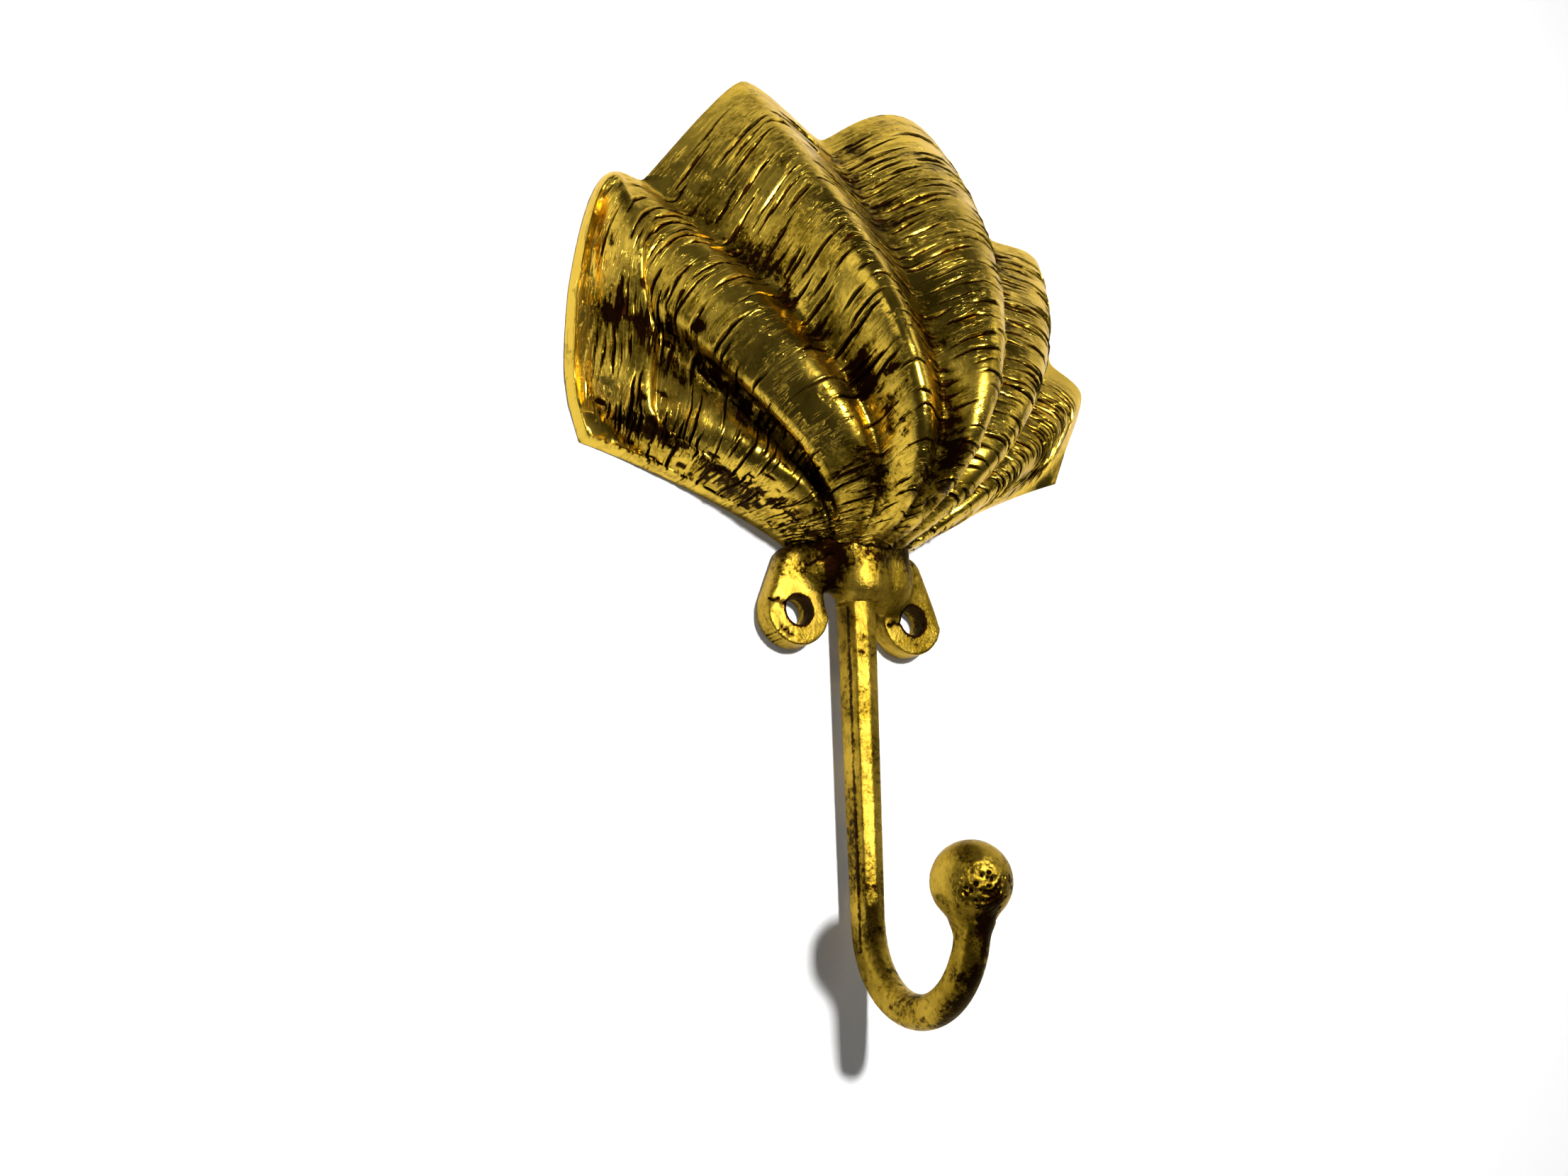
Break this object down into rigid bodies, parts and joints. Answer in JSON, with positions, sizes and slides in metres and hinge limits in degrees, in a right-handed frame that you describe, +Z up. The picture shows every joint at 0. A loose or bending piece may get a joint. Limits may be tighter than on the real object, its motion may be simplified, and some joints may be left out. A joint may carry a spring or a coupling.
{
  "type": "wall hook",
  "caption": "Cast brass wall hook: a hollow ribbed clam shell over screw lugs, with a slim rod that bends out from the wall and up to a ball end.",
  "frame": {"origin": "midway between the two screw holes, on the wall plane", "axes": "+X across to the right seen from the front, +Z up, -Y out of the wall towards the viewer"},
  "size_m": [0.0922, 0.0336, 0.1422],
  "materials": {
    "brass": "hand-polished cast brass with dark patina in the grooves"
  },
  "bodies": {
    "root": {"shell_hook": "brass"}
  },
  "joints": []
}
